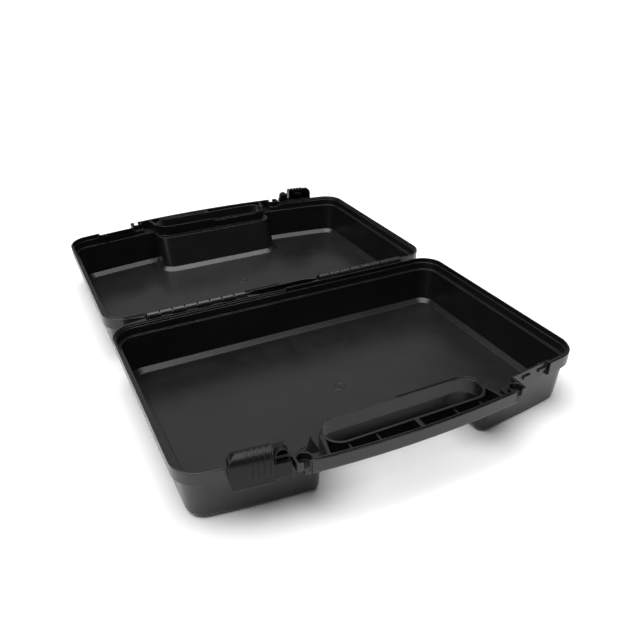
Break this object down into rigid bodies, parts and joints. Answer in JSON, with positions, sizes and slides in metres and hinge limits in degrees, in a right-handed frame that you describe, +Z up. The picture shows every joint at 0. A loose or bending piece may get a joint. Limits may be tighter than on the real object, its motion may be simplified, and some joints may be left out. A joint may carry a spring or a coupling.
{
  "type": "carrying case",
  "caption": "Hinged plastic carrying case of two identical half shells, open flat, with a moulded handle and sliding latches.",
  "frame": {"origin": "on the ground below the middle of the hinge axis, with the case open flat", "axes": "+X along the hinge, +Y from the base half to the lid half, +Z up"},
  "size_m": [0.4, 0.586, 0.0727],
  "materials": {
    "shell": "satin moulded polypropylene",
    "latch": "satin moulded polypropylene",
    "pin": "drawn wire"
  },
  "bodies": {
    "base_half": {"base_shell": "shell", "hinge_pin_right": "pin"},
    "lid_half": {"lid_shell": "shell", "hinge_pin_left": "pin"},
    "base_slider": {"base_latch": "latch"},
    "lid_slider": {"lid_latch": "latch"}
  },
  "joints": [
    {"name": "lid_hinge", "type": "hinge", "parent": "base_half", "child": "lid_half", "pos_m": [0, 0, 0.0561], "axis": [1, 0, 0], "range_deg": [0, 180]},
    {"name": "base_latch_slide", "type": "slide", "parent": "base_half", "child": "base_slider", "axis": [-0.9903, 0.1392, 0], "range_m": [0, 0.011]},
    {"name": "lid_latch_slide", "type": "slide", "parent": "lid_half", "child": "lid_slider", "axis": [0.9903, -0.1392, 0], "range_m": [0, 0.011]}
  ]
}
